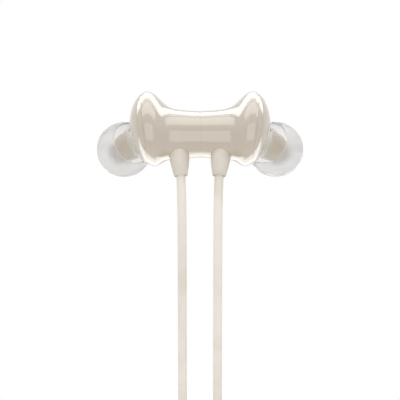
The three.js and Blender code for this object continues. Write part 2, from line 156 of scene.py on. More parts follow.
def mirrored_mesh(mesh):
    """A copy of a mesh for the right-hand side."""
    copy = mesh.copy()
    copy.transform(Matrix.Scale(-1, 4, (1, 0, 0)))
    copy.flip_normals()
    return copy


# The jacket is dull and a little uneven, as extruded elastomer is.
cable_tpe = grained("extruded TPE jacket", "#F8F2E8", "#E8E0D2", 0.12, 0.012,
                    {"Roughness": 0.62, "IOR": 1.48, "Specular IOR Level": 0.4})

boot_mouth = BOOT_START + BOOT_AXIS * BOOT_LENGTH
cable_points = [boot_mouth - BOOT_AXIS * CABLE_IN_BOOT, boot_mouth + BOOT_AXIS * CABLE_PAST_BOOT]
cable_points += [*map(Vector, CABLE_ROUTE), CABLE_END]
route = bpy.data.curves.new("cable_route", "CURVE")
route.dimensions = "3D"
route.resolution_u = 10
spline = route.splines.new("BEZIER")
spline.bezier_points.add(len(cable_points) - 1)
for knot, point in zip(spline.bezier_points, cable_points):
    knot.co = point * MM
    knot.handle_left_type = knot.handle_right_type = "AUTO"
route_object = bpy.data.objects.new("cable_route", route)
bpy.context.collection.objects.link(route_object)
bpy.context.view_layer.update()
centreline = [v.co.copy() for v in evaluated_mesh(route_object).vertices]
route.bevel_depth = CABLE_RADIUS * MM
route.bevel_resolution = 6
route.use_fill_caps = True
bpy.context.view_layer.update()
cable_mesh = evaluated_mesh(route_object)
bpy.data.objects.remove(route_object)

for side, sign in (("left", 1), ("right", -1)):
    mesh = cable_mesh.copy() if sign == 1 else mirrored_mesh(cable_mesh)
    cable = place_piece(f"{side}_bud_cable", mesh, cable_tpe, None, [f"{side}_cable"])
    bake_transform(cable)

# ---------------------------------------------------------------- rear housings
# The bud's back half: an injection-moulded ABS shell, polished and clear-coated. A round
# stem flares into the body; its flat end is the docking face, with the magnet behind it.
SHELL_WALL = 1.1
RING_SIDES = 40
# each section: its highest and lowest points, as (distance from the docking face, rise), and
# its half depth
REAR_SECTIONS = [
    ((0.6, 5.2), (0.6, -5.2), 5.2), ((2.3, 5.28), (2.3, -5.3), 5.3), ((4.0, 5.42), (4.0, -5.5), 5.42),
    ((5.5, 5.62), (5.5, -5.7), 5.6), ((6.5, 5.92), (6.45, -5.78), 5.8), ((7.3, 6.32), (7.1, -5.86), 6.0),
    ((8.1, 6.95), (7.65, -6.0), 6.3), ((8.8, 7.68), (8.15, -6.3), 6.75),
    ((9.55, 8.45), (8.7, -6.68), 7.25), ((10.3, 9.08), (9.25, -6.98), 7.66),
    ((11.1, 9.5), (9.8, -7.14), 7.92), ((11.9, 9.62), (10.4, -7.14), 8.02),
    ((12.7, 9.34), (11.05, -6.9), 7.95),
]
BODY_CENTRE = Vector((-10.95, 1.25, 0.5))
BODY_LEAN = 0.4
SEAM_AXIS = Vector((-0.994, -0.11, 0)).normalized()
SEAM_DEPTH = 1.5
SEAM_RADIUS = 7.77
SEAM_GAP = 0.005
# the docking face's distance from the middle, and its crisp edge: steps back and radii
DOCK_FACE = 0.006
DOCK_EDGE = [(0, 4.9), (0.002, 5.14), (0.015, 5.165), (0.06, 5.175)]
# the inner wall's end behind the docking face, in the same way
INNER_END = [(0.1, 4.1), (0, 3.4)]
# the run up to the seam and the wall's edge in it: steps away from the seam, and insets
REAR_SEAM_RUN = [(0.4, -0.18), (0.03, -0.012)]
SEAM_EDGE = [(0, 0), (0.002, 0.03), (0.004, SHELL_WALL)]


def add_ring(bm, centre, across, side, sides=RING_SIDES):
    """A loop of vertices round a centre, an ellipse with these two half axes. Gives its edges."""
    normal = across.cross(side).normalized()
    frame_matrix = Matrix((across, side, normal)).transposed().to_4x4()
    frame_matrix.translation = centre
    made = bmesh.ops.create_circle(bm, segments=sides, radius=1.0, matrix=frame_matrix)
    return list({edge for vert in made["verts"] for edge in vert.link_edges})


def bridge_all(bm, loops):
    """Joins each loop to the next with quads."""
    for first, second in zip(loops, loops[1:]):
        bmesh.ops.bridge_loops(bm, edges=first + second)


def finish_mesh(bm, levels=0, lift=STEM_HEIGHT):
    """Turns millimetres into metres, lifts the bud to its height and smooths the form."""
    bmesh.ops.recalc_face_normals(bm, faces=bm.faces)
    if bm.calc_volume(signed=True) < 0:
        bmesh.ops.reverse_faces(bm, faces=bm.faces)
    bmesh.ops.translate(bm, verts=bm.verts, vec=(0, 0, lift))
    bmesh.ops.scale(bm, vec=(MM, MM, MM), verts=bm.verts)
    mesh = bpy.data.meshes.new("work")
    bm.to_mesh(mesh)
    bm.free()
    if levels == 0:
        return mesh
    obj = bpy.data.objects.new("work", mesh)
    bpy.context.collection.objects.link(obj)
    smooth = obj.modifiers.new("smooth", "SUBSURF")
    smooth.levels = smooth.render_levels = levels
    bpy.context.view_layer.update()
    smoothed = evaluated_mesh(obj)
    bpy.data.objects.remove(obj)
    return smoothed


def rear_ring(top, bottom, depth, inset=0.0):
    """A section of the rear housing, from its points in plan and its half depth."""
    high = Vector((-top[0], top[1], 0))
    low = Vector((-bottom[0], bottom[1], 0))
    half = (high - low) / 2
    centre = (high + low) / 2
    centre.z = centre.y * BODY_LEAN
    half = half.normalized() * (half.length - inset)
    return add_ring(bm, centre, half, Vector((0, 0, -1)) * (depth - inset))


def seam_ring(depth, radius):
    """A round section near the seam, in step with the others."""
    up = Vector((SEAM_AXIS.y, -SEAM_AXIS.x, 0))
    return add_ring(bm, BODY_CENTRE + SEAM_AXIS * depth, up * radius, Vector((0, 0, -1)) * radius)


def dock_ring(distance, radius):
    """A round section at the stem's end."""
    return rear_ring((distance, radius), (distance, -radius), radius)


# Polished cream ABS under a clear coat: a warm body colour with sharp white reflections.
cream_abs = grained("polished ABS, clear-coated", "#CCC1B0", "#C9BEAC", 0.9, 0.0006, {
    "Roughness": 0.22, "IOR": 1.52, "Coat Weight": 1.0, "Coat Roughness": 0.02, "Coat IOR": 1.85,
})

bm = bmesh.new()
loops = [dock_ring(DOCK_FACE + step, radius) for step, radius in DOCK_EDGE]
loops += [rear_ring(*section) for section in REAR_SECTIONS]
loops += [seam_ring(SEAM_DEPTH - step, SEAM_RADIUS - inset) for step, inset in REAR_SEAM_RUN]
loops += [seam_ring(SEAM_DEPTH - SEAM_GAP - step, SEAM_RADIUS - inset) for step, inset in SEAM_EDGE]
loops += [rear_ring(*section, inset=SHELL_WALL) for section in reversed(REAR_SECTIONS[3::3])]
loops += [dock_ring(SHELL_WALL + step, radius) for step, radius in INNER_END]
bridge_all(bm, loops)
bmesh.ops.holes_fill(bm, edges=loops[0] + loops[-1], sides=0)
rear_mesh = finish_mesh(bm, levels=2)
for side, mesh in (("left", rear_mesh), ("right", mirrored_mesh(rear_mesh))):
    place_piece(f"{side}_bud_back", mesh, cream_abs, f"{side}_bud", [f"{side}_rear_housing"],
                sharp=60)

# ---------------------------------------------------------------- front housings
# The bud's front half, moulded in the same ABS: a shallow dome that runs smoothly into a
# round collar set at an angle, then the nozzle that the ear tip grips. It snaps into the
# rear half at the seam. A small slot beside the collar lets the driver breathe.
TIP_CENTRE = Vector((-17.0, -3.2, -7.6))
NOZZLE_AXIS = Vector((-0.54, -0.39, -0.745)).normalized()
COLLAR_END = -1.0
FRONT_SEAM_RUN = [(0.03, 0.025), (0.4, 0.3)]
# depth from the body's centre and height across it, on the long side and the short side of
# the bend, and the half width of each section
FRONT_SECTIONS = [
    ((2.7, 6.75), (1.62, -8.0), 7.27), ((3.7, 5.1), (1.74, -8.25), 6.5),
    ((4.35, 3.1), (1.88, -8.5), 5.54), ((4.65, 1.2), (2.02, -8.75), 4.7),
    ((4.85, -0.5), (2.18, -9.0), 4.15), ((5.3, -1.95), (2.36, -9.25), 3.8),
    ((6.1, -3.2), (2.58, -9.45), 3.58), ((7.4, -4.75), (2.9, -9.75), 3.4),
    ((8.61, -6.21), (3.25, -10.02), 3.3),
]
# distance along the nozzle and radius: collar's rounded end, shoulder, neck, lip and bore
NOZZLE_OUTLINE = [
    (-0.86, 3.22), (-0.72, 3.0), (-0.68, 2.4), (-0.62, 2.05), (0.2, 2.0), (2.5, 2.0), (2.65, 2.1),
    (3.15, 2.1), (3.3, 1.9), (3.28, 1.62), (3.1, 1.5), (0, 1.5), (-4.5, 1.5),
]
ROUND_SIDES = 48
VENT_WIDTH = 0.75
VENT_LENGTH = 2.3
VENT_CUT = 5
VENT_PLACE = BODY_CENTRE + Vector((0, 0.15, 0.3 + STEM_HEIGHT)) + SEAM_AXIS * 3.5

bm = bmesh.new()
collar_centre = TIP_CENTRE + NOZZLE_AXIS * COLLAR_END
up = BODY_CENTRE - collar_centre
up = (up - SEAM_AXIS * up.dot(SEAM_AXIS)).normalized()
width_axis = SEAM_AXIS.cross(up)


def front_ring(long_point, short_point, width, inset=0.0):
    """A section of the front housing, from its points on the two sides of the bend."""
    long_side = BODY_CENTRE + SEAM_AXIS * long_point[0] + up * long_point[1]
    short_side = BODY_CENTRE + SEAM_AXIS * short_point[0] + up * short_point[1]
    half = (long_side - short_side) / 2
    half = half.normalized() * (half.length - inset)
    return add_ring(bm, (long_side + short_side) / 2, half, width_axis * (width - inset))


def front_seam_ring(depth, radius):
    """A round section at the seam, in step with the front's other sections."""
    return add_ring(bm, BODY_CENTRE + SEAM_AXIS * depth, up * radius, width_axis * radius)


def nozzle_ring(along, radius):
    """A round section square to the nozzle, in step with the other sections."""
    across = (up - NOZZLE_AXIS * up.dot(NOZZLE_AXIS)).normalized()
    centre = TIP_CENTRE + NOZZLE_AXIS * along
    return add_ring(bm, centre, across * radius, NOZZLE_AXIS.cross(across) * radius)


def stadium_mesh(width, length, low, high, edge=0.0, sides=ROUND_SIDES):
    """An upright slab with two round ends, its top edge rounded over by the edge's width."""
    bm = bmesh.new()
    half_step = Matrix.Rotation(math.pi / sides, 4, "Z")
    bmesh.ops.create_circle(bm, cap_ends=True, segments=sides, radius=width / 2, matrix=half_step)
    for direction in (1, -1):
        half = [vert for vert in bm.verts if vert.co.y * direction > 0]
        bmesh.ops.translate(bm, verts=half, vec=(0, direction * (length - width) / 2, 0))
    bmesh.ops.translate(bm, verts=bm.verts, vec=(0, 0, low))
    raised = bmesh.ops.extrude_face_region(bm, geom=bm.faces[:])["geom"]
    top = [item for item in raised if isinstance(item, bmesh.types.BMVert)]
    bmesh.ops.translate(bm, verts=top, vec=(0, 0, high - low))
    if edge:
        rim = [e for e in bm.edges if all(vert in top for vert in e.verts)]
        bmesh.ops.bevel(bm, geom=rim, offset=edge, segments=5, profile=0.5, affect="EDGES",
                        material=-1)
    return finish_mesh(bm, lift=0)


def joined(mesh, tools, operation):
    """The mesh with the tools' volumes added to it or cut from it."""
    obj = bpy.data.objects.new("work", mesh)
    bpy.context.collection.objects.link(obj)
    tool_objects = []
    for tool in tools:
        tool_object = bpy.data.objects.new("tool", tool)
        bpy.context.collection.objects.link(tool_object)
        tool_objects.append(tool_object)
        step = obj.modifiers.new("step", "BOOLEAN")
        step.operation = operation
        step.solver = "MANIFOLD"
        step.object = tool_object
    bpy.context.view_layer.update()
    result = evaluated_mesh(obj)
    for used in (obj, *tool_objects):
        bpy.data.objects.remove(used)
    return result


def vent_slot():
    """What is cut out for the vent, square to the seam."""
    slot = stadium_mesh(VENT_WIDTH, VENT_LENGTH, 0, VENT_CUT)
    aim = SEAM_AXIS.to_track_quat("Z", "X").to_matrix().to_4x4()
    turn = aim @ Matrix.Rotation(math.radians(90), 4, "Z")
    slot.transform(Matrix.Translation(VENT_PLACE * MM) @ turn)
    return slot


front_edge = SEAM_DEPTH + SEAM_GAP
loops = [front_seam_ring(front_edge + step, SEAM_RADIUS - inset) for step, inset in SEAM_EDGE[::-1]]
loops += [front_seam_ring(front_edge + step, SEAM_RADIUS - inset) for step, inset in FRONT_SEAM_RUN]
loops += [front_ring(*section) for section in FRONT_SECTIONS]
loops += [nozzle_ring(along, radius) for along, radius in NOZZLE_OUTLINE]
loops += [front_ring(*FRONT_SECTIONS[index], inset=SHELL_WALL) for index in (4, 1)]
loops.append(loops[0])
bridge_all(bm, loops)
front_mesh = joined(finish_mesh(bm, levels=2), [vent_slot()], "DIFFERENCE")
for side, mesh in (("left", front_mesh), ("right", mirrored_mesh(front_mesh))):
    place_piece(f"{side}_bud_front", mesh, cream_abs, f"{side}_bud", [f"{side}_front_housing"],
                sharp=60)

# ---------------------------------------------------------------- ear tips
# Moulded translucent silicone: a thick inner sleeve that grips the nozzle, rolled over at
# the mouth into a thin dome whose free rim reaches back over the collar.
TIP_RADIUS = 6.2
TIP_WALL = 0.5
TIP_SIDES = 72
RIM_DEPTH = 3.6
RIM_ANGLE = -math.asin(RIM_DEPTH / TIP_RADIUS)
RIM_TAPER = 0.02
OUTER_MOUTH_ANGLE = 0.93
INNER_MOUTH_ANGLE = 0.8
MOUTH_ROLL_CENTRE = (2.98, 4.62)
MOUTH_ROLL_RADIUS = 0.68
# the sleeve that grips the nozzle, as (radius, distance along the nozzle)
SLEEVE_OUTLINE = [
    (2.3, 4.0), (2.3, 0), (2.3, -0.45), (2.45, -0.6), (2.75, -0.6), (2.9, -0.45), (2.9, 0), (2.9, 3.0),
    (3.15, 3.75),
]


def spun_mesh(profile, origin, axis, sides, lift=STEM_HEIGHT):
    """Spins a closed outline of (radius, distance along the axis) round the axis."""
    bm = bmesh.new()
    verts = [bm.verts.new((radius, 0, along)) for radius, along in profile]
    edges = [bm.edges.new((verts[i - 1], verts[i])) for i in range(len(verts))]
    bmesh.ops.spin(bm, geom=verts + edges, cent=(0, 0, 0), axis=(0, 0, 1), angle=2 * math.pi,
                   steps=sides, use_merge=True, use_duplicate=False)
    bmesh.ops.remove_doubles(bm, verts=bm.verts, dist=1e-4)
    bmesh.ops.delete(bm, geom=[e for e in bm.edges if not e.link_faces], context="EDGES")
    bmesh.ops.transform(bm, matrix=axis.to_track_quat("Z", "Y").to_matrix().to_4x4(), verts=bm.verts)
    bmesh.ops.translate(bm, verts=bm.verts, vec=origin)
    return finish_mesh(bm, lift=lift)


def arc(centre, radius, start, end, count):
    """Points on an arc in an outline, both ends included."""
    angles = [start + (end - start) * i / (count - 1) for i in range(count)]
    return [(centre[0] + radius * math.cos(a), centre[1] + radius * math.sin(a)) for a in angles]


outer_dome = arc((0, 0), TIP_RADIUS, RIM_ANGLE, OUTER_MOUTH_ANGLE, 22)
inner_dome = arc((0, 0), TIP_RADIUS - TIP_WALL, INNER_MOUTH_ANGLE, RIM_ANGLE + RIM_TAPER, 16)
mouth_roll = arc(MOUTH_ROLL_CENTRE, MOUTH_ROLL_RADIUS, math.radians(50), math.radians(180), 9)
tip_outline = [*outer_dome, *mouth_roll, *SLEEVE_OUTLINE, *inner_dome]

# Clear silicone is a little milky: most of what lies behind it shows, softened and pale.
silicone = grained("translucent moulded silicone", "#FCFBFA", "#F8F7F5", 0.6, 0.003,
                   {"Roughness": 0.34, "IOR": 1.41, "Transmission Weight": 0.88})

tip_mesh = spun_mesh(tip_outline, TIP_CENTRE, NOZZLE_AXIS, TIP_SIDES)
for side, mesh in (("left", tip_mesh), ("right", mirrored_mesh(tip_mesh))):
    place_piece(f"{side}_silicone_tip", mesh, silicone, f"{side}_tip", [f"{side}_ear_tip"],
                sharp=60)

# ---------------------------------------------------------------- cable boots
# Tapered strain reliefs of soft elastomer, moulded round the cable and pushed out through
# the stem's wall, so that the cable can't kink where it leaves the bud.
BOOT_OUTLINE = [
    (1.02, 0), (2.1, 0), (2.17, 1.4), (2.2, 2.6), (2.16, 3.2), (2.06, 3.9), (1.92, 4.7), (1.76, 5.5),
    (1.61, 6.3), (1.53, 6.7), (1.47, 6.84), (1.38, 6.9), (1.26, 6.88), (1.22, 6.75), (1.2, 5.8),
    (1.02, 5.5),
]

# Moulded elastomer is matt, like the cable's jacket, and a shade darker.
boot_elastomer = grained("moulded elastomer boot", "#EFE8DC", "#D4CBBB", 0.15, 0.01,
                         {"Roughness": 0.6, "IOR": 1.48, "Specular IOR Level": 0.4})
boot_mesh = spun_mesh(BOOT_OUTLINE, BOOT_START, BOOT_AXIS, ROUND_SIDES, lift=0)
for side, mesh in (("left", boot_mesh), ("right", mirrored_mesh(boot_mesh))):
    place_piece(f"{side}_bud_boot", mesh, boot_elastomer, f"{side}_bud", [f"{side}_cable_boot"],
                sharp=50)

# ---------------------------------------------------------------- vents
# Woven acoustic cloth, heat-staked behind the slot of each front housing, keeps dust out of
# the driver and slows the air. It stays the frame's own plain disc.


def patterned(name, colour, gap_colour, pitch_mm, share, shader):
    """A surface with a grid of round holes of that pitch, their radius being that share of it."""
    material, output = new_material(name)
    place = add_node(material, "ShaderNodeTexCoord").outputs["Object"]
    grid = add_node(material, "ShaderNodeTexVoronoi", {"Scale": 1 / (pitch_mm * MM), "Randomness": 0.0},
                    {"Vector": place})
    edge = add_node(material, "ShaderNodeMapRange", {"From Min": share, "From Max": share + 0.08},
                    {"Value": grid.outputs["Distance"]})
    mix = add_node(material, "ShaderNodeMix", {COLOUR_A: linear(gap_colour), COLOUR_B: linear(colour)},
                   {"Factor": edge.outputs["Result"]}, data_type="RGBA")
    bump = add_node(material, "ShaderNodeBump", {"Strength": 0.6, "Distance": 0.05 * MM},
                    {"Height": edge.outputs["Result"]})
    bsdf = add_node(material, "ShaderNodeBsdfPrincipled", shader,
                    {"Base Color": mix.outputs[COLOUR_RESULT], "Normal": bump.outputs["Normal"]})
    material.node_tree.links.new(bsdf.outputs["BSDF"], output.inputs["Surface"])
    return material


def finish_nodes(material, *names):
    """Gives the frame's own pieces their material."""
    for name in names:
        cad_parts[name].material_slots[0].material = material


# Woven polyester, almost black; the weave is drawn at 0.2 mm, twice its real pitch, to show.
acoustic_cloth = patterned("woven acoustic cloth", "#2B2A2C", "#0E0E0F", 0.2, 0.3,
                           {"Roughness": 0.85})
finish_nodes(acoustic_cloth, "left_vent_mesh", "right_vent_mesh")

# ---------------------------------------------------------------- drivers and magnets
# In each bud a dynamic driver faces the nozzle: a formed polyester diaphragm in a stamped
# steel basket. A nickel-plated magnet sits behind the docking face, and an etched steel
# screen closes the nozzle. They stay the frame's own shapes.

# Stamped stainless steel is grey and half bright, with a fine rolled grain.
steel = grained("stamped stainless steel", "#B9B6B0", "#A8A59F", 0.25, 0.002,
                {"Metallic": 1.0, "Roughness": 0.3})
# Electroplated nickel is brighter and slightly warm.
nickel = grained("nickel plating", "#CDC9C0", "#C2BDB3", 0.6, 0.001,
                 {"Metallic": 1.0, "Roughness": 0.14})
# Thermoformed film is amber, thin and glossy.
film = grained("formed polyester film", "#D9C998", "#CDBB86", 0.4, 0.004,
               {"Roughness": 0.25, "IOR": 1.58})
# Photo-etched holes of 0.2 mm, 0.35 mm apart, read as a dark dotted disc.
screen = patterned("etched steel screen", "#B3B1AC", "#1B1B1C", 0.35, 0.32,
                   {"Metallic": 0.9, "Roughness": 0.35})
for side in ("left", "right"):
    finish_nodes(steel, f"{side}_driver_basket")
    finish_nodes(nickel, f"{side}_dock_magnet")
    finish_nodes(film, f"{side}_driver_diaphragm")
    finish_nodes(screen, f"{side}_nozzle_mesh")

# ---------------------------------------------------------------- neckband sleeve
# An oval tube of soft-touch silicone, overmoulded on a sprung steel wire and the cable
# loom between the pods. Its ends are held inside the pods' mouths.
BAND_HALF_WIDTH = 70.0
BAND_START_Y = 22.0
BAND_RISE = 54.25
BAND_END_Y = 18.0
BAND_WIDTH = 7.5
BAND_HEIGHT = 5.2
BAND_STEPS = 96
BORE_HALF_WIDTH = 3.0
BORE_HALF_HEIGHT = 1.35
POD_HEIGHT = 9.5
MID_HEIGHT = POD_HEIGHT / 2


def band_places():
    """Points along the sleeve from the left pod to the right one, with the direction across it."""
    places = [(Vector((-BAND_HALF_WIDTH, BAND_END_Y, MID_HEIGHT)), Vector((-1, 0, 0)))]
    for step in range(BAND_STEPS + 1):
        angle = math.pi * step / BAND_STEPS
        x = -BAND_HALF_WIDTH * math.cos(angle)
        centre = Vector((x, BAND_START_Y + BAND_RISE * math.sin(angle), MID_HEIGHT))
        across = Vector((-math.cos(angle) / BAND_HALF_WIDTH, math.sin(angle) / BAND_RISE, 0))
        places.append((centre, across.normalized()))
    return places + [(Vector((BAND_HALF_WIDTH, BAND_END_Y, MID_HEIGHT)), Vector((1, 0, 0)))]


bm = bmesh.new()
loops = [add_ring(bm, centre, across * BAND_WIDTH / 2, Vector((0, 0, BAND_HEIGHT / 2)))
         for centre, across in band_places()]
loops += [add_ring(bm, centre, across * BORE_HALF_WIDTH, Vector((0, 0, BORE_HALF_HEIGHT)))
          for centre, across in reversed(band_places())]
loops.append(loops[0])
bridge_all(bm, loops)
sleeve_mesh = finish_mesh(bm, lift=0)

# Soft-touch silicone is dead matt, with a powdery bloom that lifts its edges.
sleeve_silicone = grained("soft-touch silicone", "#DDD5C8", "#D7CEBF", 0.18, 0.012,
                          {"Roughness": 0.72, "IOR": 1.41, "Sheen Weight": 0.25, "Sheen Roughness": 0.5})
place_piece("neck_band_sleeve", sleeve_mesh, sleeve_silicone, "neckband", ["neck_sleeve"])

# The sprung wire is bright drawn steel; the loom has a black PVC jacket.
black_pvc = grained("black PVC jacket", "#232325", "#1B1B1D", 0.15, 0.01,
                    {"Roughness": 0.5, "IOR": 1.52})
finish_nodes(steel, "memory_wire")
finish_nodes(black_pvc, "wire_harness")

# ---------------------------------------------------------------- pods
# Two slim housings at the arms' ends: the left one holds the battery, the right one the
# electronics. Each is two injection-moulded ABS shells, polished, that meet in a fine seam
# at mid height and clip over the sleeve in front and the cable's boot behind.
POD_WIDTH = 12.4
POD_CORNER = 2.8
# how much tighter the hollow's corners are, for each millimetre of wall
CORNER_LOSS = 1.3
# place along the pod, width and height of each section
POD_SECTIONS = [
    (24, 9.4, 7), (23.7, 10, 7.6), (22.5, 10.8, 8.2), (17, 12, 9.2), (8, POD_WIDTH, POD_HEIGHT),
    (-64, POD_WIDTH, POD_HEIGHT), (-70, 11.6, 8.8), (-73.6, 9.8, 7.4), (-74.7, 8.6, 6.4), (-75, 7.8, 5.6),
]
POD_SEAM_GAP = 0.03
HALF_BLOCK_SIZE = Vector((30, 120, 20))
HALF_BLOCK_Y = -25
MOUTH_CUT = 8
MOUTH_CLEARANCE = 0.06
POD_BOOT_Y = -72.6
# what the pod's boot and its collar take out of the end wall, as (radius, distance back)
BOOT_GROOVE = [(0, -0.1), (3.08, -0.1), (3.08, 0.98), (2.28, 0.98), (2.28, 5), (0, 5)]
HOLE_CLEARANCE = 0.12
# the heights between which the top cover's holes are cut
TOP_CUT = (7, 11)
BUTTON_WIDTH = 4.6
BUTTON_LENGTH = 7.4
BUTTON_PLACES = {"volume_up": -8, "play": -20, "volume_down": -32}
USB_HEIGHT = 3.2
USB_WIDTH = 8.9
USB_CUT = 8
USB_CUT_FROM = 1
USB_Y = -52
LIGHT_WIDTH = 1.6
LIGHT_Y = -42
MICROPHONE_WIDTH = 0.9
MICROPHONE_Y = 1
SMALL_HOLE_SIDES = 24


def pod_form(inset=0.0):
    """The outer form of a pod, round x = 0, or its hollow, which lies that far inside."""
    first, *middle, last = POD_SECTIONS
    front = first[0] - inset
    back = last[0] + inset
    middle = [section for section in middle if back < section[0] < front]
    bm = bmesh.new()
    bmesh.ops.create_cube(bm, size=1.0)
    bmesh.ops.scale(bm, vec=(POD_WIDTH, front - back, POD_HEIGHT), verts=bm.verts)
    bmesh.ops.translate(bm, vec=(0, (front + back) / 2, MID_HEIGHT), verts=bm.verts)
    for section in middle:
        bmesh.ops.bisect_plane(bm, geom=bm.verts[:] + bm.edges[:] + bm.faces[:],
                               plane_co=(0, section[0], 0), plane_no=(0, 1, 0))
    for along, width, height in [(front, *first[1:]), *middle, (back, *last[1:])]:
        corners = [vert for vert in bm.verts if abs(vert.co.y - along) < 0.01]
        factors = ((width - 2 * inset) / POD_WIDTH, 1, (height - 2 * inset) / POD_HEIGHT)
        bmesh.ops.scale(bm, vec=factors, verts=corners, space=Matrix.Translation((0, 0, -MID_HEIGHT)))
    long_edges = [e for e in bm.edges if abs(e.verts[0].co.y - e.verts[1].co.y) > 0.1]
    bmesh.ops.bevel(bm, geom=long_edges, offset=POD_CORNER - CORNER_LOSS * inset, segments=6,
                    profile=0.5, affect="EDGES", material=-1)
    return finish_mesh(bm, levels=2, lift=0)


def half_block(side):
    """A block that takes away what lies above (side 1) or below (side -1) the pod's seam."""
    bm = bmesh.new()
    bmesh.ops.create_cube(bm, size=1.0)
    bmesh.ops.scale(bm, vec=HALF_BLOCK_SIZE, verts=bm.verts)
    height = MID_HEIGHT + side * (HALF_BLOCK_SIZE.z / 2 - POD_SEAM_GAP)
    bmesh.ops.translate(bm, vec=(0, HALF_BLOCK_Y, height), verts=bm.verts)
    return finish_mesh(bm, lift=0)


def moved_mesh(mesh, x, y, z=0.0):
    """The mesh moved by that many millimetres."""
    mesh.transform(Matrix.Translation(Vector((x, y, z)) * MM))
    return mesh


def mouth_cutters():
    """What the sleeve and the cable's boot take out of a pod's two ends."""
    bm = bmesh.new()
    upright = Matrix.Rotation(math.radians(90), 4, "X")
    bmesh.ops.create_cone(bm, cap_ends=True, segments=ROUND_SIDES, radius1=1, radius2=1, depth=MOUTH_CUT,
                          matrix=upright)
    bmesh.ops.scale(bm, vec=(BAND_WIDTH / 2 + MOUTH_CLEARANCE, 1, BAND_HEIGHT / 2 + MOUTH_CLEARANCE),
                    verts=bm.verts)
    bmesh.ops.translate(bm, vec=(0, POD_SECTIONS[0][0], MID_HEIGHT), verts=bm.verts)
    start = Vector((0, POD_BOOT_Y, MID_HEIGHT))
    groove = spun_mesh(BOOT_GROOVE, start, Vector((0, -1, 0)), ROUND_SIDES, lift=0)
    return [finish_mesh(bm, lift=0), groove]


pod_outside = pod_form()
pod_hollow = pod_form(SHELL_WALL)
usb_hole = stadium_mesh(USB_HEIGHT + 2 * HOLE_CLEARANCE, USB_WIDTH + 2 * HOLE_CLEARANCE, 0, USB_CUT)
usb_hole.transform(Matrix.Rotation(math.radians(90), 4, "Y"))
moved_mesh(usb_hole, USB_CUT_FROM, USB_Y, MID_HEIGHT)
button_hole = stadium_mesh(BUTTON_WIDTH + 2 * HOLE_CLEARANCE, BUTTON_LENGTH + 2 * HOLE_CLEARANCE,
                           *TOP_CUT)
light_hole = stadium_mesh(LIGHT_WIDTH, LIGHT_WIDTH, *TOP_CUT, sides=SMALL_HOLE_SIDES)
microphone_hole = stadium_mesh(MICROPHONE_WIDTH, MICROPHONE_WIDTH, *TOP_CUT, sides=SMALL_HOLE_SIDES)
control_cutters = [moved_mesh(button_hole.copy(), 0, y) for y in BUTTON_PLACES.values()]
control_cutters += [moved_mesh(light_hole, 0, LIGHT_Y), moved_mesh(microphone_hole, 0, MICROPHONE_Y)]
for side, sign in (("left", -1), ("right", 1)):
    for level, up_or_down in (("lower", -1), ("upper", 1)):
        cutters = [half_block(-up_or_down), pod_hollow, *mouth_cutters()]
        if side == "right":
            cutters += [usb_hole] + (control_cutters if level == "upper" else [])
        shell_mesh = joined(pod_outside.copy(), cutters, "DIFFERENCE")
        moved_mesh(shell_mesh, sign * BAND_HALF_WIDTH, 0)
        shell = place_piece(f"{side}_pod_{level}_cover", shell_mesh, cream_abs, "neckband",
                            [f"{side}_pod_{level}_shell"], sharp=35)
        shell.modifiers.new("even_shading", "WEIGHTED_NORMAL").keep_sharp = True

# ---------------------------------------------------------------- pod boots
# Short strain reliefs, moulded round the cables' far ends from the same elastomer as the
# buds' boots. A collar inside the pod locks each one between the covers.
POD_BOOT_OUTLINE = [
    (1.02, 0), (2.9, 0), (3.0, 0.1), (3.0, 0.8), (2.9, 0.9), (2.24, 0.9), (2.2, 1.1), (2.2, 2.4),
    (2.14, 3.3), (2.02, 4.3), (1.84, 5.3), (1.66, 6.3), (1.54, 6.95), (1.46, 7.3), (1.34, 7.4),
    (1.24, 7.38), (1.2, 7.2), (1.18, 6.6), (1.02, 6.3),
]
for side, sign in (("left", -1), ("right", 1)):
    start = Vector((sign * BAND_HALF_WIDTH, POD_BOOT_Y, MID_HEIGHT))
    mesh = spun_mesh(POD_BOOT_OUTLINE, start, Vector((0, -1, 0)), ROUND_SIDES, lift=0)
    place_piece(f"{side}_pod_strain_relief", mesh, boot_elastomer, "neckband", [f"{side}_pod_boot"],
                sharp=50)

# ---------------------------------------------------------------- buttons
# Three pill-shaped keys in the right pod's top: moulded ABS caps with a flange that keeps
# them in, each pressing its switch. Raised marks tell louder, play and quieter apart.
BUTTON_TOP = 9.9
# width, length, lowest and highest point, and rounding of a key's three steps
CAP = (BUTTON_WIDTH, BUTTON_LENGTH, 7.7, BUTTON_TOP, 0.4)
FLANGE = (5.8, 8.6, 7.5, 8.0, 0.1)
PLUNGER = (2.0, 2.0, 5.95, 7.8)
PLUNGER_SIDES = 32
MARK_LENGTH = 1.9
MARK_WIDTH = 0.34
MARK_RISE = 0.25
MARK_ROOT = 0.1
MARK_EDGE = 0.05
MARK_SIDES = 16
PLAY_MARK_RADII = (1.1, 1.0)


def mark_bar():
    """A raised bar in the middle of a key's top."""
    return stadium_mesh(MARK_WIDTH, MARK_LENGTH, BUTTON_TOP - MARK_ROOT, BUTTON_TOP + MARK_RISE,
                        MARK_EDGE, sides=MARK_SIDES)


def play_mark():
    """A raised triangle in the middle of a key's top."""
    bm = bmesh.new()
    middle = Matrix.Translation((0, 0, BUTTON_TOP + (MARK_RISE - MARK_ROOT) / 2))
    bmesh.ops.create_cone(bm, cap_ends=True, segments=3, radius1=PLAY_MARK_RADII[0],
                          radius2=PLAY_MARK_RADII[1], depth=MARK_RISE + MARK_ROOT, matrix=middle)
    return finish_mesh(bm, lift=0)


def key_marks(name):
    """The raised mark of one key: a triangle, a bar or a cross."""
    if name == "play":
        return [play_mark()]
    bars = [mark_bar()]
    if name == "volume_up":
        crossing = mark_bar()
        crossing.transform(Matrix.Rotation(math.radians(90), 4, "Z"))
        bars.append(crossing)
    return bars


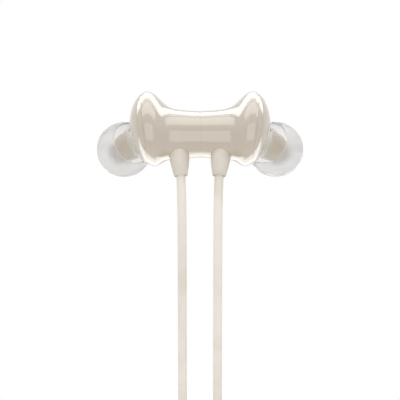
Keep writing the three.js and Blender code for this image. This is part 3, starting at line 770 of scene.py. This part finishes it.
for name, along in BUTTON_PLACES.items():
    plunger = stadium_mesh(*PLUNGER, sides=PLUNGER_SIDES)
    key_mesh = joined(stadium_mesh(*CAP), [stadium_mesh(*FLANGE), plunger, *key_marks(name)], "UNION")
    moved_mesh(key_mesh, BAND_HALF_WIDTH, along)
    place_piece(f"{name}_key", key_mesh, cream_abs, name, [f"{name}_button"], sharp=30)

# ---------------------------------------------------------------- electronics
# The right pod's board carries the radio module, microphone, switches, USB-C socket and a
# light pipe. The left pod holds the pouch cell and its protection board. All of them stay
# the frame's own shapes.

# Green solder mask over copper: tracks, 0.6 mm apart, show a shade lighter.
mask, mask_output = new_material("solder-masked circuit board")
mask_place = add_node(mask, "ShaderNodeTexCoord").outputs["Object"]
tracks = add_node(mask, "ShaderNodeTexBrick", {
    "Scale": 1.0, "Color1": linear("#2C5A43"), "Color2": linear("#2F5F48"), "Mortar": linear("#4A7F62"),
    "Mortar Size": 0.06 * MM, "Brick Width": 4.0 * MM, "Row Height": 0.6 * MM,
}, {"Vector": mask_place})
mask_bsdf = add_node(mask, "ShaderNodeBsdfPrincipled", {"Roughness": 0.35, "IOR": 1.5},
                     {"Base Color": tracks.outputs["Color"]})
mask.node_tree.links.new(mask_bsdf.outputs["BSDF"], mask_output.inputs["Surface"])
# Laminated aluminium foil is dull silver and lightly creased.
foil = grained("aluminium laminate foil", "#C2C4C7", "#B2B5B9", 1.8, 0.05,
               {"Metallic": 0.85, "Roughness": 0.36})
# Moulded PBT is black with a fine matt grain.
black_pbt = grained("moulded black PBT", "#29292B", "#202022", 0.2, 0.006,
                    {"Roughness": 0.55, "IOR": 1.55})
# Clear acrylic carries the light of the LED on the board to the pod's top.
acrylic = grained("clear acrylic", "#F5F5F2", "#F0F0EC", 0.5, 0.001,
                  {"Roughness": 0.12, "IOR": 1.49, "Transmission Weight": 0.85})
finish_nodes(mask, "main_board", "protection_board")
finish_nodes(foil, "battery_cell")
finish_nodes(steel, "bluetooth_module", "microphone", "usb_c_socket")
finish_nodes(acrylic, "status_light")
finish_nodes(black_pbt, *[f"{name}_switch" for name in BUTTON_PLACES])

# ---------------------------------------------------------------- table and light
# A plain white table and backdrop, under a soft tent and one large soft box. A tall box
# behind the buds and two low strips on the table only show as reflections in the buds'
# polished housings. The table throws back a little less light than it shows.
TABLE_SIZE = 12.0
BACKDROP_RADIUS = 10.0
WHITE = 1.0
BOUNCE = 0.85
# (place along the ramp, brightness) of the tent, from level to straight up, and from the
# cables' side to the neckband's
TENT_BY_HEIGHT = [(0.0, 0.95), (0.3, 0.95), (0.6, 0.84), (1.0, 0.62)]
TENT_BY_DEPTH = [(0.0, 0.85), (0.5, 0.7), (0.75, 1.0), (1.0, 1.3)]


def add_stage(name, bm, level, seen):
    """A plain glowing surface, either what is seen of the table or the light that it gives."""
    material, output = new_material(name)
    glow = add_node(material, "ShaderNodeEmission", {"Color": (1, 1, 1, 1), "Strength": level})
    material.node_tree.links.new(glow.outputs["Emission"], output.inputs["Surface"])
    mesh = bpy.data.meshes.new(name)
    bm.to_mesh(mesh)
    bm.free()
    mesh.materials.append(material)
    obj = bpy.data.objects.new(name, mesh)
    obj.visible_camera = obj.visible_transmission = seen
    obj.visible_diffuse = obj.visible_glossy = not seen
    obj.visible_shadow = False
    bpy.context.collection.objects.link(obj)


for name, level, seen in (("white_table", WHITE, True), ("table_bounce", BOUNCE, False)):
    bm = bmesh.new()
    bmesh.ops.create_grid(bm, x_segments=1, y_segments=1, size=TABLE_SIZE)
    add_stage(name, bm, level, seen)
bm = bmesh.new()
bmesh.ops.create_icosphere(bm, subdivisions=3, radius=BACKDROP_RADIUS)
add_stage("white_backdrop", bm, WHITE, True)

scene = bpy.context.scene
scene.view_settings.view_transform = "Standard"
scene.view_settings.look = "None"
scene.world = bpy.data.worlds.new("tent")
scene.world.use_nodes = True
scene.world.node_tree.nodes.clear()
direction = add_node(scene.world, "ShaderNodeTexCoord").outputs["Generated"]
parts = add_node(scene.world, "ShaderNodeSeparateXYZ", None, {"Vector": direction})


def world_ramp(fac, stops):
    """A ramp of brightness over a direction's height or depth."""
    ramp = add_node(scene.world, "ShaderNodeValToRGB", None, {"Fac": fac})
    while len(ramp.color_ramp.elements) < len(stops):
        ramp.color_ramp.elements.new(0.5)
    for element, (position, level) in zip(ramp.color_ramp.elements, stops):
        element.position = position
        element.color = (level, level, level, 1)
    return ramp.outputs["Color"]


by_height = world_ramp(parts.outputs["Z"], TENT_BY_HEIGHT)
depth = add_node(scene.world, "ShaderNodeMapRange", {"From Min": -1, "From Max": 1},
                 {"Value": parts.outputs["Y"]})
by_depth = world_ramp(depth.outputs["Result"], TENT_BY_DEPTH)
sky = add_node(scene.world, "ShaderNodeBackground", None, {"Color": by_height, "Strength": by_depth})
add_node(scene.world, "ShaderNodeOutputWorld", None, {"Surface": sky.outputs["Background"]})


def add_panel(name, place, aim, width, depth, power, lit=None):
    """A light panel that faces a point, in metres and watts. If it's given a collection, it only
    shows as a reflection in those pieces."""
    data = bpy.data.lights.new(name, "AREA")
    data.shape = "RECTANGLE"
    data.size = width
    data.size_y = depth
    data.energy = power
    panel = bpy.data.objects.new(name, data)
    panel.location = place
    panel.rotation_euler = (Vector(aim) - Vector(place)).to_track_quat("-Z", "Y").to_euler()
    panel.visible_camera = False
    if lit:
        panel.visible_diffuse = panel.visible_transmission = False
        panel.light_linking.receiver_collection = lit
    bpy.context.collection.objects.link(panel)


polished = bpy.data.collections.new("polished buds")
for name in ("left_bud_back", "left_bud_front", "right_bud_back", "right_bud_front"):
    polished.objects.link(bpy.data.objects[name])
add_panel("soft_box", place=(0, -0.36, 1.6), aim=(0, -0.36, 0), width=2.4, depth=1.6, power=9.0)
add_panel("tall_box_behind", place=(0, 0.7, 0.32), aim=(0, 0, 0.02), width=2.4, depth=0.6, power=4.4,
          lit=polished)
add_panel("strip_behind", place=(0, 0.12, 0.0005), aim=(0, 0.12, 1), width=0.2, depth=0.2, power=0.3,
          lit=polished)
add_panel("strip_in_front", place=(0, -0.065, 0.0005), aim=(0, -0.065, 1), width=0.2, depth=0.1,
          power=0.1, lit=polished)
